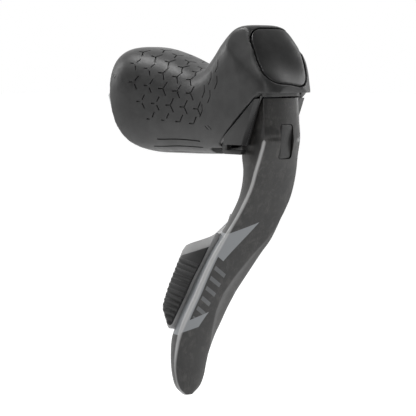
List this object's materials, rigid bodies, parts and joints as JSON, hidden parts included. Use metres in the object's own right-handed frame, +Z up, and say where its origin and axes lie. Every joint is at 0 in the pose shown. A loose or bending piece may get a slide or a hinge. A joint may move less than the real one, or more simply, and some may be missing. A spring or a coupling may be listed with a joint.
{
  "type": "brake shift lever",
  "caption": "Right-hand drop-bar brake and shift lever with rubber hood, tall horn, hydraulic cylinder, curved brake blade and ribbed shift paddle.",
  "frame": {"origin": "centre of the handlebar clamp, on the bar's axis", "axes": "+X forward, +Y inboard towards the rider's middle, +Z up; the bar runs down and forward, 20 degrees from vertical"},
  "size_m": [0.1067, 0.0479, 0.1556],
  "materials": {
    "hood_rubber": "satin",
    "cap_rubber": "satin",
    "body_plastic": "satin",
    "blade_composite": "clear coat over mottled carbon",
    "paddle_plastic": "satin",
    "pad_plastic": "satin",
    "black_rubber": "matte",
    "black_plastic": "matte",
    "steel": "satin",
    "dark_steel": "black oxide",
    "alloy": "anodised",
    "bronze": "plain",
    "piston_alloy": "anodised",
    "board_green": "solder mask",
    "light_lens": "clear"
  },
  "bodies": {
    "body": {"lever_body": "body_plastic", "reservoir_housing": "body_plastic", "side_plates": "body_plastic", "front_rim": "body_plastic", "hood_cover": "hood_rubber", "pommel_cap": "cap_rubber", "reservoir_diaphragm": "black_rubber", "reservoir_cover": "alloy", "reservoir_screws": "steel", "clamp_band": "steel", "clamp_bolt": "dark_steel", "clamp_nut": "steel", "bleed_screw": "steel", "bleed_o_ring": "black_rubber", "pivot_pin": "steel", "pin_circlips": "dark_steel", "return_spring": "steel", "circuit_board": "board_green", "coin_cell": "steel", "battery_cover": "black_plastic", "battery_seal": "black_rubber", "battery_screws": "steel", "status_light": "light_lens", "button_seal": "black_rubber", "retaining_ring": "steel", "piston_spring": "steel"},
    "hydraulic_piston": {"piston": "piston_alloy", "primary_seal": "black_rubber", "secondary_seal": "black_rubber", "pushrod": "steel"},
    "rocker": {"rocker": "alloy", "rocker_bushings": "bronze"},
    "blade": {"blade_carrier": "alloy", "brake_blade": "blade_composite", "reach_plug": "black_rubber", "paddle_bracket": "black_plastic", "paddle_pin": "steel", "paddle_spring": "steel", "shift_switch": "black_plastic"},
    "reach_screw": {"reach_screw": "steel"},
    "paddle": {"paddle": "paddle_plastic", "paddle_pad": "pad_plastic"},
    "switch_plunger": {"switch_plunger": "light_lens"},
    "function_button": {"function_button": "black_plastic"}
  },
  "joints": [
    {"name": "brake_lever", "type": "hinge", "parent": "body", "child": "rocker", "pos_m": [0.077, 0, 0.003], "axis": [0, 1, 0], "range_deg": [0, 15], "stiffness_Nm_per_rad": 0.6, "springref_deg": -20.05},
    {"name": "reach_adjust", "type": "hinge", "parent": "rocker", "child": "blade", "pos_m": [0.077, 0, 0.003], "axis": [0, 1, 0], "range_deg": [0, 5]},
    {"name": "piston_slide", "type": "slide", "parent": "body", "child": "hydraulic_piston", "axis": [-1, 0, 0], "range_m": [0, 0.0034], "deforming": ["piston_spring"]},
    {"name": "reach_screw_travel", "type": "slide", "parent": "blade", "child": "reach_screw", "axis": [1, 0, 0], "range_m": [0, 0.00175]},
    {"name": "shift_paddle", "type": "hinge", "parent": "blade", "child": "paddle", "pos_m": [0.0753, -0.002, -0.038], "axis": [0.9164, 0, -0.4004], "range_deg": [0, 5], "stiffness_Nm_per_rad": 0.25, "springref_deg": -6.88},
    {"name": "plunger_travel", "type": "slide", "parent": "blade", "child": "switch_plunger", "axis": [0, 1, 0], "range_m": [0, 0.00132]},
    {"name": "button_press", "type": "slide", "parent": "body", "child": "function_button", "axis": [0, -1, 0], "range_m": [0, 0.0005], "stiffness_N_per_m": 800, "springref_m": -0.001}
  ],
  "couplings": [
    {"joint": "piston_slide", "follows": "brake_lever", "m_per_rad": 0.012965},
    {"joint": "reach_screw_travel", "follows": "reach_adjust", "m_per_rad": 0.019},
    {"joint": "plunger_travel", "follows": "shift_paddle", "m_per_rad": 0.015}
  ]
}
